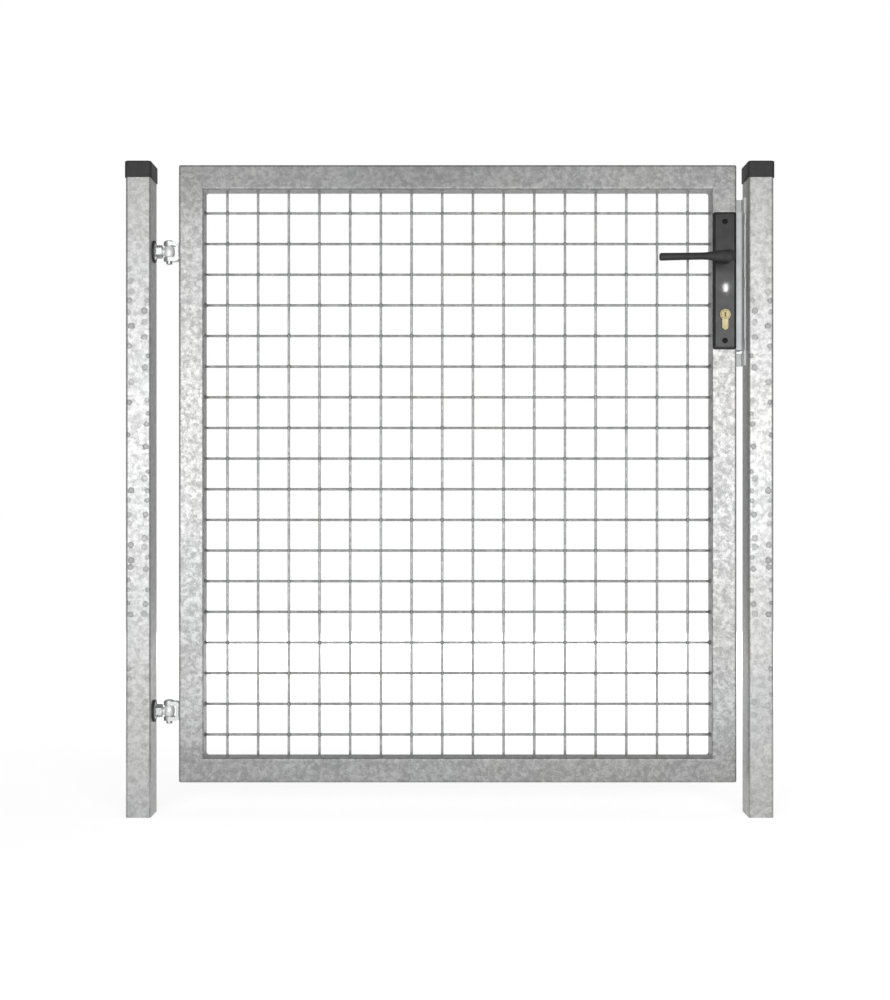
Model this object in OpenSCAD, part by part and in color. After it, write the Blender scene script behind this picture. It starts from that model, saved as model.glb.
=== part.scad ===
// Galvanised single-leaf garden gate: a welded square-tube frame filled with wire mesh,
// hung between two capped posts on adjustable eye-bolt hinges, with a lever lock.
// Millimetres. The origin is the centre of the hinge post's foot, at ground level.
// +X runs to the latch post, +Y runs away from the front, +Z is up.

/* [Leaf] */
// Width of the leaf over its frame
leaf_w = 903; // [600:1:1400]
// Height of the leaf over its frame
leaf_h = 1000; // [700:10:1600]
// Gap between the ground and the leaf
ground_gap = 55; // [20:1:120]
// Side of the square frame tube
tube = 40; // [38:1:50]
// Wall of the frame tube
tube_wall = 2; // [1.5:0.1:3]
// Outside corner radius of the frame tube
tube_r = 3.5; // [2:0.1:6]
// Radius to which the leaf's outer corners are ground
leaf_corner_r = 4; // [1:0.5:5]

/* [Wire mesh] */
// Spacing of the wires, centre to centre
mesh_pitch = 50; // [40:1:90]
// Thickness of a wire
wire = 4; // [3:0.1:6]
// Smallest space between the frame and the first wire
mesh_edge = 20; // [10:1:30]
// Depth to which crossing wires are welded into each other
weld_sink = 0.8; // [0.4:0.1:1.2]

/* [Posts] */
// Width of a post, seen from the front
post_w = 40; // [36:1:80]
// Depth of a post, front to back
post_d = 60; // [50:1:100]
// Wall of the post tube
post_wall = 2; // [1.5:0.1:4]
// Outside corner radius of the post tube
post_r = 4; // [2:0.1:8]
// Height of the post tube above the top of the leaf
post_rise = 1; // [0:1:200]

/* [Post caps] */
// Height of the skirt that covers the tube
cap_skirt = 23; // [10:1:40]
// Thickness of the cap over the tube
cap_top = 4; // [3:0.5:8]
// Wall of the skirt
cap_wall = 1.4; // [1:0.1:3]
// Clearance between the skirt and the tube
cap_play = 0.2; // [0.1:0.05:0.5]
// Radius of the rounded top edge
cap_edge_r = 3; // [1:0.5:3]

/* [Hinges] */
// From the top of the leaf down to the upper hinge
hinge_top_in = 138; // [80:1:250]
// From the bottom of the leaf up to the lower hinge
hinge_bottom_in = 114; // [80:1:250]
// Diameter of the hinge pin
pin_d = 10; // [8:0.5:12]
// Running clearance around the pin
pin_play = 0.1; // [0.05:0.01:0.1]
// Diameter of the pin's head
pin_head_d = 15; // [13:0.5:18]
// Height of the pin's head
pin_head_t = 2.5; // [1.5:0.5:5]
// Length of pin below the bracket
pin_tail = 5; // [3:0.5:10]
// Chamfer at the pin's lower end
pin_chamfer = 1; // [0.5:0.5:2]
// Outside diameter of the eye, and width of the bracket
eye_d = 18; // [18:1:28]
// Height of the eye
eye_h = 17; // [16:0.5:26]
// Bulge of the barrel-shaped eye
eye_bulge = 1.6; // [0.5:0.1:3]
// Clearance between the eye and each arm of the bracket
eye_play = 0.8; // [0.1:0.1:1]
// Space between the eye and the back of the bracket
eye_back = 3; // [1:0.5:5]
// Thickness of the bracket
bracket_t = 6.5; // [4:0.5:8]
// Inside bend radius of the bracket
bracket_r = 1.5; // [1:0.5:3]
// Diameter of the eye bolt's shank
shank_d = 12; // [10:1:14]
// Clearance around the shank in the post and the nut
shank_play = 0.1; // [0.05:0.05:0.3]
// Length of shank inside the post
shank_in = 16; // [8:1:24]
// Diameter of the washer on the post
washer_d = 36; // [28:1:40]
// Thickness of the washer
washer_t = 3; // [2:0.5:5]
// Clearance between the washer and the shank
washer_play = 0.5; // [0.2:0.1:0.8]
// Diameter of the nut's flange
flange_d = 27; // [22:1:28]
// Thickness of the nut's flange
flange_t = 2.8; // [2:0.1:4]
// Nut across its flats
nut_af = 19; // [17:1:20]
// Height of the nut above its flange
nut_h = 9.4; // [8:0.1:14]
// Diameter of the nut's end face inside its chamfer
nut_face_d = 17.5; // [16:0.5:19]
// Free thread between the nut and the eye
thread_show = 1.3; // [1:0.1:20]

/* [Lock] */
// From the top of the leaf down to the middle of the lock
lock_top_in = 188; // [165:1:400]
// Height of the lock case
case_h = 223; // [200:1:240]
// Clearance between the lock case and the inside of the tube
case_play = 2; // [1:0.5:4]
// Clearance between the lock case and its cut-out in the tube
pocket_play = 0.3; // [0.1:0.1:0.8]
// Radius of the lock case's upright edges
case_r = 3; // [1:0.5:5]
// Reach of the lock's nose beyond the leaf
nose_out = 10.5; // [8:0.5:16]
// Clearance between the nose and the keep
nose_play = 5; // [5:0.5:10]
// Thickness of the latch and the dead bolt
bolt_t = 10; // [8:0.5:12]
// Height of the latch
latch_h = 30; // [20:1:36]
// Height of the dead bolt
dead_h = 36; // [24:1:40]
// Length of the bolts inside the case
bolt_len = 16; // [10:1:20]
// Clearance around the bolts
bolt_play = 0.3; // [0.1:0.1:0.6]
// Distance of the bolts behind the middle of the leaf
bolt_back = 7; // [6:0.5:8]
// Slope of the latch's leading face, front to tip
latch_bevel = 8; // [4:0.5:10]
// Width of the flat on the latch's tip
latch_tip = 3.3; // [2:0.1:5]
// From the middle of the lock up to the lever's spindle
spindle_up = 35; // [25:1:45]
// From the spindle down to the cylinder
cylinder_pitch = 90; // [72:1:92]
// From the middle of the lock up to the latch
latch_up = 40; // [30:1:50]
// From the middle of the lock down to the dead bolt
dead_down = 8; // [0:1:14]

/* [Lock plates] */
// Distance of the plate's ends from the ends of the lock case
plate_end_in = 0.5; // [0:0.5:4]
// Distance of the plate from the stile's edges
plate_in = 1; // [0:0.5:4]
// Thickness of a lock plate
plate_t = 6; // [5:0.5:10]
// Corner radius of a lock plate
plate_r = 4; // [2.5:0.5:8]
// Width of the bevel round the plate
plate_bevel_w = 4; // [1:0.5:4.5]
// Height of the bevel round the plate
plate_bevel_t = 4; // [1:0.5:4.5]
// From the top of the plate down to its upper screw
screw_top_in = 16; // [12:1:24]
// From the bottom of the plate up to its lower screw
screw_bottom_in = 14; // [12:1:24]
// Diameter of a screw hole
screw_d = 5.5; // [4:0.5:7]
// Diameter of the recess for a screw's head
screw_head_d = 9.4; // [8:0.2:12]
// Depth of the recess for a screw's head
screw_head_t = 3; // [2:0.5:4]

/* [Profile cylinder] */
// Diameter of the cylinder's round part
cylinder_d = 17; // [17:0.5:22]
// Width of the cylinder's tail
cylinder_tail_w = 10; // [9:0.5:12]
// Whole height of the cylinder
cylinder_h = 33; // [31:0.5:36]
// Length of cylinder standing out of each plate
cylinder_out = 3; // [1:0.5:5]
// Clearance around the cylinder
cylinder_play = 0.3; // [0.1:0.1:0.8]
// Diameter of the plug
plug_d = 13; // [12:0.5:15]
// Width of the groove that shows round the plug
plug_groove = 0.4; // [0.3:0.1:0.8]
// Height of the keyway
keyway_h = 8; // [7:0.5:9]
// Width of the keyway
keyway_w = 2.2; // [1.8:0.1:3]
// Depth of the keyway
keyway_deep = 8; // [4:1:12]

/* [Keep] */
// Thickness of the keep's sheet
keep_t = 2.5; // [2:0.5:4]
// Inside bend radius of the keep
keep_r = 1.5; // [1:0.5:2]
// Reach of the keep in front of the middle of the leaf
keep_front = 2; // [2:0.5:6]
// Height of the keep above the lock case
keep_above = 27; // [10:0.5:40]
// Height of the keep below the lock case
keep_below = 23.5; // [22:0.5:40]
// Height of the tab at the keep's foot
tab_h = 21; // [12:0.5:22]
// Clearance between the leaf and the keep's flange
keep_play = 5.5; // [5:0.5:8]
// Clearance between the nose and the stop flange
stop_play = 5; // [5:0.5:8]
// From the bottom of the lock case up to the stop flange's end
stop_in = 8; // [4:1:20]
// Space round a bolt in the keep and the post
window_play = 1.5; // [1:0.5:2]

/* [Lever] */
// Side of the square spindle
spindle = 8; // [7:0.5:9]
// Clearance of the spindle in the lever and the end cap
spindle_play = 0.1; // [0.05:0.05:0.2]
// Depth of the spindle's socket in the lever
socket_deep = 24; // [15:1:30]
// Diameter of the hole for the spindle in the stile and the case
spindle_hole_d = 14; // [14:0.5:16]
// Diameter of the neck of the lever and of the end cap
neck_d = 18; // [16:0.5:18]
// Running clearance round the neck
neck_play = 0.1; // [0.05:0.01:0.1]
// Gap between the stile and the neck's end
neck_gap = 0.5; // [0.3:0.1:2]
// Diameter of the collar round the neck
collar_d = 21; // [20:0.5:28]
// Height of the collar on the plate
collar_t = 3; // [1:0.5:6]
// From the plate to the middle of the grip
grip_out = 39; // [32:1:60]
// From the spindle to the lever's tip
lever_len = 111; // [90:1:130]
// Radius of the lever's hub
hub_r = 10; // [9.5:0.5:14]
// How far the hub's middle lies below the spindle
hub_drop = 0.8; // [0:0.1:0.8]
// How far the lever's tip lies below its hub
tip_drop = 2; // [0:0.5:6]
// Share of the lever's depth that is left at the hub's round end
hub_edge = 0.6; // [0.3:0.05:1]
// Depth of the lever, front to back
grip_d = 12; // [9:0.5:16]
// Height of the grip at its slimmest
grip_h = 11.4; // [8:0.1:14]
// Height of the grip at its tip
tip_h = 12.5; // [10:0.5:16]
// Length over which the hub narrows to the grip
hub_blend = 44; // [30:1:60]
// Radius of the tip's edge
tip_r = 3; // [0.5:0.5:3]

/* [Rear end cap] */
// Diameter of the cap's head
end_cap_d = 22; // [20:0.5:25]
// Thickness of the cap's head
end_cap_t = 6; // [4:0.5:10]
// Radius of the head's rounded edge
end_cap_r = 2; // [1:0.5:3]
// Gap between the head and the collar
end_cap_gap = 0.5; // [0.3:0.1:1]
// Depth of the spindle's socket in the cap
end_socket_deep = 10; // [6:1:12]

/* [Hidden] */
$fn = 48;
overcut = 1;
// Smallest inside corner radius of a tube
least_r = 0.5;

// Hinge side: what stands between the post and the leaf
pin_to_leaf = bracket_t + eye_back + eye_d / 2;
nut_end = washer_t + flange_t + nut_h;
hinge_gap = nut_end + thread_show + eye_d / 2 + pin_to_leaf;

// Latch side: the nose, its clearance and the keep's sheet
latch_gap = nose_out + nose_play + keep_t;

// Places along the gate
hinge_face = post_w / 2;
leaf_x0 = hinge_face + hinge_gap;
leaf_x1 = leaf_x0 + leaf_w;
latch_face = leaf_x1 + latch_gap;
latch_post_x = latch_face + post_w / 2;
pin_x = leaf_x0 - pin_to_leaf;
stile_x = leaf_x1 - tube / 2;

// Heights
leaf_z0 = ground_gap;
leaf_z1 = ground_gap + leaf_h;
post_h = leaf_z1 + post_rise;
upper_hinge_z = leaf_z1 - hinge_top_in;
lower_hinge_z = leaf_z0 + hinge_bottom_in;
lock_z = leaf_z1 - lock_top_in;
latch_z = lock_z + latch_up;
dead_z = lock_z - dead_down;

// Wires: as many as fit, centred in the frame
inner_w = leaf_w - 2 * tube;
inner_h = leaf_h - 2 * tube;
mesh_cols = floor((inner_w - 2 * mesh_edge) / mesh_pitch) + 1;
mesh_rows = floor((inner_h - 2 * mesh_edge) / mesh_pitch) + 1;
mesh_x0 = leaf_x0 + leaf_w / 2 - (mesh_cols - 1) * mesh_pitch / 2;
mesh_z0 = leaf_z0 + leaf_h / 2 - (mesh_rows - 1) * mesh_pitch / 2;
wire_layer = (wire - weld_sink) / 2;
wire_sides = 8;

// Lock case, nose and keep
case_x0 = leaf_x1 - tube + tube_wall + case_play;
case_x1 = leaf_x1 + nose_out;
case_d = tube - 2 * tube_wall - 2 * case_play;
keep_h = keep_above + case_h + keep_below;
keep_z = lock_z - case_h / 2 - keep_below;
keep_back = case_d / 2 + stop_play + keep_t;
keep_reach = latch_gap - keep_play;
plate_w = tube - 2 * plate_in;
plate_h = case_h - 2 * plate_end_in;
cylinder_up = spindle_up - cylinder_pitch;
cylinder_len = tube + 2 * plate_t + 2 * cylinder_out;
neck_y = tube / 2 + neck_gap;
spindle_front = neck_y + socket_deep - spindle_play;
spindle_rear = neck_y + end_socket_deep - spindle_play;

// Lever outline: points round one section, rings along the lever and round its hub,
// and the angle from the hub's end to its first ring
lever_sides = 20;
lever_rings = 16;
hub_rings = 7;
hub_first = 10;
squareness = 2.5;

zinc = "#b9bec0";
zinc_light = "#cfd3d4";
black = "#26272a";
brass = "#c9a75a";

// Flat shapes

module rounded_rect(w, h, r) {
    square([w - 2 * r, h], center = true);
    square([w, h - 2 * r], center = true);
    for (x = [-1, 1], y = [-1, 1])
        translate([x * (w / 2 - r), y * (h / 2 - r)]) circle(r);
}

module tube_section(w, h, wall, r) {
    inner_r = max(r - wall, least_r);
    difference() {
        rounded_rect(w, h, r);
        rounded_rect(w - 2 * wall, h - 2 * wall, inner_r);
    }
}

// Euro profile: a round part with a round-ended tail below it
module euro_profile(play) {
    tail_z = cylinder_h - cylinder_d / 2 - cylinder_tail_w / 2;
    circle(d = cylinder_d + 2 * play);
    translate([-cylinder_tail_w / 2 - play, -tail_z]) square([cylinder_tail_w + 2 * play, tail_z]);
    translate([0, -tail_z]) circle(d = cylinder_tail_w + 2 * play);
}

// Quarter ring of a bent sheet, in the quarter where x and y are positive
module bend(t, r) {
    intersection() {
        difference() {
            circle(r + t);
            circle(r);
        }
        square(r + t);
    }
}

// Places and directions

module along_x(x) {
    translate([x, 0, 0]) rotate([90, 0, 90]) children();
}

// The outline is drawn in x and z and runs through the gate from front to back
module through_gate(depth) {
    rotate([90, 0, 0]) linear_extrude(depth, center = true) children();
}

// On the stile's front face at the lock's middle, with local z pointing out of the gate
module on_front_face() {
    translate([stile_x, -tube / 2, lock_z]) rotate([90, 0, 0]) children();
}

module on_rear_face() {
    mirror([0, 1, 0]) on_front_face() children();
}

// Posts

module post_tube() {
    linear_extrude(post_h) tube_section(post_w, post_d, post_wall, post_r);
}

module shank_hole(z) {
    translate([0, 0, z]) along_x(hinge_face - post_wall - overcut)
        cylinder(d = shank_d + 2 * shank_play, h = post_wall + 2 * overcut);
}

// Opening for a bolt in the keep and in the post wall behind it
module bolt_window(z, h) {
    size = [keep_t + post_wall + 2 * overcut, bolt_t + 2 * window_play, h + 2 * window_play];
    translate([latch_face - keep_t - overcut, bolt_back - size[1] / 2, z - size[2] / 2]) cube(size);
}

module hinge_post() {
    color(zinc) difference() {
        post_tube();
        shank_hole(upper_hinge_z);
        shank_hole(lower_hinge_z);
    }
}

module latch_post() {
    color(zinc) difference() {
        translate([latch_post_x, 0, 0]) post_tube();
        bolt_window(latch_z, latch_h);
        bolt_window(dead_z, dead_h);
    }
}

module post_cap(x) {
    inner = [post_w + 2 * cap_play, post_d + 2 * cap_play, post_r + cap_play];
    outer = [for (size = inner) size + 2 * cap_wall];
    height = cap_skirt + cap_top;
    color(black) translate([x, 0, post_h - cap_skirt]) difference() {
        hull() {
            linear_extrude(height - cap_edge_r) rounded_rect(outer[0], outer[1], post_r + cap_wall);
            for (angle = [30 : 30 : 90]) {
                inset = cap_edge_r * (1 - cos(angle));
                translate([0, 0, height - cap_edge_r]) linear_extrude(cap_edge_r * sin(angle))
                    rounded_rect(outer[0] - 2 * inset, outer[1] - 2 * inset, post_r, $fn = 32);
            }
        }
        translate([0, 0, -overcut]) linear_extrude(cap_skirt + overcut)
            rounded_rect(inner[0], inner[1], inner[2]);
    }
}

// Hinges

// Barrel-shaped eye, from its widest middle to its flat ends
module eye_barrel() {
    arc_r = (eye_h * eye_h / 4 + eye_bulge * eye_bulge) / (2 * eye_bulge);
    rotate_extrude() intersection() {
        translate([eye_d / 2 - arc_r, 0]) circle(arc_r);
        translate([0, -eye_h / 2]) square([eye_d / 2, eye_h]);
    }
}

module eye_bolt(z) {
    shank_x0 = hinge_face - post_wall - shank_in;
    color(zinc_light) difference() {
        union() {
            translate([pin_x, 0, z]) eye_barrel();
            translate([0, 0, z]) along_x(shank_x0) cylinder(d = shank_d, h = pin_x - shank_x0);
        }
        translate([pin_x, 0, z - eye_h / 2 - overcut])
            cylinder(d = pin_d + 2 * pin_play, h = eye_h + 2 * overcut);
    }
}

module hinge_washer(z) {
    color(black) translate([0, 0, z]) along_x(hinge_face) linear_extrude(washer_t) difference() {
        circle(d = washer_d);
        circle(d = shank_d + 2 * washer_play);
    }
}

module hinge_nut(z) {
    hex_d = nut_af / cos(30);
    hex_h = nut_h + flange_t / 2;
    color(zinc_light) translate([0, 0, z]) along_x(hinge_face + washer_t) difference() {
        union() {
            cylinder(d1 = flange_d, d2 = nut_af, h = flange_t);
            translate([0, 0, flange_t / 2]) intersection() {
                rotate(30) cylinder(d = hex_d, h = hex_h, $fn = 6);
                cylinder(d1 = nut_face_d + 2 * hex_h / tan(30), d2 = nut_face_d, h = hex_h);
            }
        }
        translate([0, 0, -overcut]) cylinder(d = shank_d + 2 * shank_play, h = nut_end + overcut);
    }
}

// A strip bent to a U: its back is welded to the stile, its arms hold the pin
module hinge_bracket(z) {
    gap = eye_h + 2 * eye_play;
    outer_r = bracket_r + bracket_t;
    arm_z = gap / 2 - bracket_r;
    arm_len = pin_to_leaf + eye_d / 2 - outer_r;
    color(zinc) translate([0, 0, z]) difference() {
        intersection() {
            translate([leaf_x0, 0, 0]) through_gate(eye_d) {
                translate([-bracket_t, -arm_z]) square([bracket_t, 2 * arm_z]);
                for (side = [0, 1]) mirror([0, side]) {
                    translate([-outer_r, arm_z]) bend(bracket_t, bracket_r);
                    translate([-outer_r - arm_len, gap / 2]) square([arm_len, bracket_t]);
                }
            }
            linear_extrude(gap + 2 * bracket_t, center = true) {
                translate([pin_x, 0]) circle(d = eye_d);
                translate([pin_x, -eye_d / 2]) square([pin_to_leaf, eye_d]);
            }
        }
        translate([pin_x, 0, 0])
            cylinder(d = pin_d + 2 * pin_play, h = gap + 2 * bracket_t + 2 * overcut, center = true);
    }
}

module hinge_pin(z) {
    arm_top = eye_h / 2 + eye_play + bracket_t;
    color(zinc_light) translate([pin_x, 0, z]) rotate_extrude() polygon([
        [0, -arm_top - pin_tail],
        [pin_d / 2 - pin_chamfer, -arm_top - pin_tail],
        [pin_d / 2, -arm_top - pin_tail + pin_chamfer],
        [pin_d / 2, arm_top],
        [pin_head_d / 2, arm_top],
        [pin_head_d / 2, arm_top + pin_head_t / 2],
        [pin_d / 2, arm_top + pin_head_t],
        [0, arm_top + pin_head_t]
    ]);
}

// Frame and mesh

// One side of the frame: the outline, with its mitres, inside the leaf's rounded corners
module frame_side(outline) {
    through_gate(tube) intersection() {
        polygon(outline);
        translate([leaf_x0 + leaf_w / 2, leaf_z0 + leaf_h / 2]) rounded_rect(leaf_w, leaf_h, leaf_corner_r);
    }
}

module rail(z, outline) {
    color(zinc) intersection() {
        translate([0, 0, z + tube / 2]) along_x(leaf_x0)
            linear_extrude(leaf_w) tube_section(tube, tube, tube_wall, tube_r);
        frame_side(outline);
    }
}

module stile(x, outline) {
    intersection() {
        translate([x + tube / 2, 0, leaf_z0])
            linear_extrude(leaf_h) tube_section(tube, tube, tube_wall, tube_r);
        frame_side(outline);
    }
}

module bottom_rail() {
    rail(leaf_z0, [
        [leaf_x0, leaf_z0], [leaf_x1, leaf_z0],
        [leaf_x1 - tube, leaf_z0 + tube], [leaf_x0 + tube, leaf_z0 + tube]
    ]);
}

module top_rail() {
    rail(leaf_z1 - tube, [
        [leaf_x0, leaf_z1], [leaf_x0 + tube, leaf_z1 - tube],
        [leaf_x1 - tube, leaf_z1 - tube], [leaf_x1, leaf_z1]
    ]);
}

module hinge_stile() {
    color(zinc) stile(leaf_x0, [
        [leaf_x0, leaf_z0], [leaf_x0 + tube, leaf_z0 + tube],
        [leaf_x0 + tube, leaf_z1 - tube], [leaf_x0, leaf_z1]
    ]);
}

module latch_stile() {
    pocket = [tube, case_d + 2 * pocket_play, case_h + 2 * pocket_play];
    color(zinc) difference() {
        stile(leaf_x1 - tube, [
            [leaf_x1 - tube, leaf_z0 + tube], [leaf_x1, leaf_z0],
            [leaf_x1, leaf_z1], [leaf_x1 - tube, leaf_z1 - tube]
        ]);
        translate([stile_x, -pocket[1] / 2, lock_z - pocket[2] / 2]) cube(pocket);
        lock_holes();
    }
}

module wire_bar(len) {
    rotate(180 / wire_sides) cylinder(d = wire / cos(180 / wire_sides), h = len, $fn = wire_sides);
}

module wire_mesh() {
    color(zinc) {
        for (col = [0 : mesh_cols - 1])
            translate([mesh_x0 + col * mesh_pitch, -wire_layer, leaf_z0 + tube]) wire_bar(inner_h);
        for (row = [0 : mesh_rows - 1])
            translate([0, wire_layer, mesh_z0 + row * mesh_pitch]) along_x(leaf_x0 + tube)
                wire_bar(inner_w);
    }
}

// Lock

// Holes for the spindle and the cylinder, through the stile and the lock case
module lock_holes() {
    translate([stile_x, 0, lock_z]) through_gate(tube + 2 * overcut) {
        translate([0, spindle_up]) circle(d = spindle_hole_d);
        translate([0, cylinder_up]) euro_profile(cylinder_play);
    }
}

module bolt_pocket(z, h) {
    size = [bolt_len + overcut, bolt_t + 2 * bolt_play, h + 2 * bolt_play];
    translate([case_x1 - bolt_len, bolt_back - size[1] / 2, z - size[2] / 2]) cube(size);
}

module lock_case() {
    color(zinc_light) difference() {
        translate([(case_x0 + case_x1) / 2, 0, lock_z - case_h / 2])
            linear_extrude(case_h) rounded_rect(case_x1 - case_x0, case_d, case_r);
        lock_holes();
        bolt_pocket(latch_z, latch_h);
        bolt_pocket(dead_z, dead_h);
    }
}

// Drawn in, with its tip level with the nose; the sloped face leads as the leaf closes
module latch_bolt() {
    color(zinc_light) translate([case_x1, bolt_back - bolt_t / 2, latch_z - latch_h / 2])
        linear_extrude(latch_h) polygon([
            [-bolt_len, 0], [0, 0], [0, latch_tip], [-latch_bevel, bolt_t], [-bolt_len, bolt_t]
        ]);
}

module dead_bolt() {
    color(zinc_light) translate([case_x1 - bolt_len, bolt_back - bolt_t / 2, dead_z - dead_h / 2])
        cube([bolt_len, bolt_t, dead_h]);
}

module lock_plate() {
    screws = [plate_h / 2 - screw_top_in, screw_bottom_in - plate_h / 2];
    color(black) difference() {
        union() {
            hull() {
                linear_extrude(plate_t - plate_bevel_t)
                    rounded_rect(plate_w, plate_h, plate_r, $fn = 32);
                linear_extrude(plate_t)
                    rounded_rect(plate_w - 2 * plate_bevel_w, plate_h - 2 * plate_bevel_w,
                        plate_r - plate_bevel_w / 2, $fn = 32);
            }
            translate([0, spindle_up, 0]) cylinder(d = collar_d, h = plate_t + collar_t);
        }
        translate([0, spindle_up, -overcut])
            cylinder(d = neck_d + 2 * neck_play, h = plate_t + collar_t + 2 * overcut);
        translate([0, cylinder_up, -overcut]) linear_extrude(plate_t + 2 * overcut)
            euro_profile(cylinder_play);
        for (y = screws) translate([0, y, 0]) {
            translate([0, 0, -overcut]) cylinder(d = screw_d, h = plate_t + 2 * overcut);
            translate([0, 0, plate_t - screw_head_t])
                cylinder(d = screw_head_d, h = screw_head_t + overcut);
        }
    }
}

module front_lock_plate() {
    on_front_face() lock_plate();
}

module rear_lock_plate() {
    on_rear_face() lock_plate();
}

// The plug's outline and keyway, cut into one end of the cylinder
module plug_face() {
    translate([0, 0, -plug_groove]) linear_extrude(plug_groove + overcut) difference() {
        circle(d = plug_d + 2 * plug_groove);
        circle(d = plug_d);
    }
    translate([-keyway_w / 2, -keyway_h / 2, -keyway_deep])
        cube([keyway_w, keyway_h, keyway_deep + overcut]);
}

module profile_cylinder() {
    color(brass) translate([stile_x, 0, lock_z + cylinder_up]) difference() {
        through_gate(cylinder_len) euro_profile(0);
        for (side = [0, 1]) mirror([0, side, 0])
            translate([0, -cylinder_len / 2, 0]) rotate([90, 0, 0]) plug_face();
    }
}

// Latch keep: a folded angle on the post. Its flange behind the nose is the leaf's stop,
// with a gap above the tab at its foot.

module keep_flange(h) {
    straight = keep_reach - keep_t - keep_r;
    linear_extrude(h) {
        translate([-keep_reach, -keep_t]) square([straight, keep_t]);
        translate([-keep_t - keep_r, -keep_t - keep_r]) bend(keep_t, keep_r);
    }
}

module latch_keep() {
    base_w = keep_front + keep_back - keep_t - keep_r;
    stop_z = keep_below + stop_in;
    color(zinc_light) difference() {
        translate([latch_face, 0, keep_z]) {
            translate([-keep_t, -keep_front, 0]) cube([keep_t, base_w, keep_h]);
            translate([0, keep_back, 0]) keep_flange(tab_h);
            translate([0, keep_back, stop_z]) keep_flange(keep_h - stop_z);
        }
        bolt_window(latch_z, latch_h);
        bolt_window(dead_z, dead_h);
    }
}

// Lever

function smooth(t) = t * t * (3 - 2 * t);

// Half height of the lever at x from the spindle
function half_h(x) =
    x < 0 ? sqrt(max(hub_r * hub_r - x * x, 0)) :
    x < hub_blend ? hub_r + (grip_h / 2 - hub_r) * smooth(x / hub_blend) :
    (grip_h + (tip_h - grip_h) * pow((x - hub_blend) / (lever_len - hub_blend), 2)) / 2;

// Half depth of the lever at x, thinner round the hub's end
function half_d(x) =
    grip_d / 2 * (x < 0 ? hub_edge + (1 - hub_edge) * sqrt(max(1 - pow(x / hub_r, 2), 0)) : 1);

// Height of the lever's middle line at x
function middle(x) = -hub_drop - tip_drop * max(x, 0) / lever_len;

// A rounded-square section of the lever; inset rounds off the tip
function lever_ring(x, inset) = [
    for (i = [0 : lever_sides - 1])
        let (angle = 360 * i / lever_sides, power = 2 / squareness)
        [
            -x,
            middle(x) + (half_h(x) - inset) * sign(sin(angle)) * pow(abs(sin(angle)), power),
            (half_d(x) - inset) * sign(cos(angle)) * pow(abs(cos(angle)), power)
        ]
];

module lever_grip() {
    hub_x = [for (i = [0 : hub_rings - 1]) -hub_r * cos(hub_first + (90 - hub_first) * i / hub_rings)];
    arm_x = [for (i = [0 : lever_rings]) (lever_len - tip_r) * i / lever_rings];
    tip = [for (angle = [30 : 30 : 90])
        [lever_len - tip_r + tip_r * sin(angle), tip_r * (1 - cos(angle))]];
    rings = concat(
        [for (x = hub_x) lever_ring(x, 0)],
        [for (x = arm_x) lever_ring(x, 0)],
        [for (end = tip) lever_ring(end[0], end[1])]
    );
    last = len(rings) - 1;
    sides = lever_sides;
    points = [for (ring = rings) each ring];
    walls = [for (k = [0 : last - 1], i = [0 : sides - 1])
        let (a = k * sides + i, b = k * sides + (i + 1) % sides)
        each [[a, b + sides, b], [a, a + sides, b + sides]]];
    ends = [
        [for (i = [0 : sides - 1]) i],
        [for (i = [sides - 1 : -1 : 0]) last * sides + i]
    ];
    polyhedron(points, concat(walls, ends));
}

// Local z points out of the gate
module spindle_socket(depth) {
    side = spindle + 2 * spindle_play;
    translate([-side / 2, -side / 2, neck_gap - overcut]) cube([side, side, depth + overcut]);
}

// The grip reaches towards the hinges
module front_lever() {
    color(black) on_front_face() translate([0, spindle_up, 0]) difference() {
        union() {
            translate([0, 0, neck_gap]) cylinder(d = neck_d, h = plate_t + grip_out - neck_gap);
            translate([0, 0, plate_t + grip_out]) lever_grip();
        }
        spindle_socket(socket_deep);
    }
}

module rear_spindle_cap() {
    head_z = plate_t + collar_t + end_cap_gap;
    flat_r = end_cap_d / 2 - end_cap_r;
    color(black) on_rear_face() translate([0, spindle_up, 0]) difference() {
        union() {
            translate([0, 0, neck_gap]) cylinder(d = neck_d, h = head_z + end_cap_r - neck_gap);
            translate([0, 0, head_z]) rotate_extrude() {
                square([flat_r, end_cap_t]);
                square([end_cap_d / 2, end_cap_t - end_cap_r]);
                translate([flat_r, end_cap_t - end_cap_r]) circle(end_cap_r);
            }
        }
        spindle_socket(end_socket_deep);
    }
}

module lever_spindle() {
    color(zinc) translate([stile_x - spindle / 2, -spindle_front, lock_z + spindle_up - spindle / 2])
        cube([spindle, spindle_front + spindle_rear, spindle]);
}

hinge_post();
latch_post();
post_cap(0);  // hinge_post_cap
post_cap(latch_post_x);  // latch_post_cap
eye_bolt(upper_hinge_z);  // upper_hinge_eye_bolt
eye_bolt(lower_hinge_z);  // lower_hinge_eye_bolt
hinge_washer(upper_hinge_z);  // upper_hinge_washer
hinge_washer(lower_hinge_z);  // lower_hinge_washer
hinge_nut(upper_hinge_z);  // upper_hinge_nut
hinge_nut(lower_hinge_z);  // lower_hinge_nut
latch_keep();
hinge_stile();
latch_stile();
top_rail();
bottom_rail();
wire_mesh();
hinge_bracket(upper_hinge_z);  // upper_hinge_bracket
hinge_bracket(lower_hinge_z);  // lower_hinge_bracket
hinge_pin(upper_hinge_z);  // upper_hinge_pin
hinge_pin(lower_hinge_z);  // lower_hinge_pin
lock_case();
latch_bolt();
dead_bolt();
front_lock_plate();
rear_lock_plate();
profile_cylinder();
front_lever();
lever_spindle();
rear_spindle_cap();
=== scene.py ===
import math
import random

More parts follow.
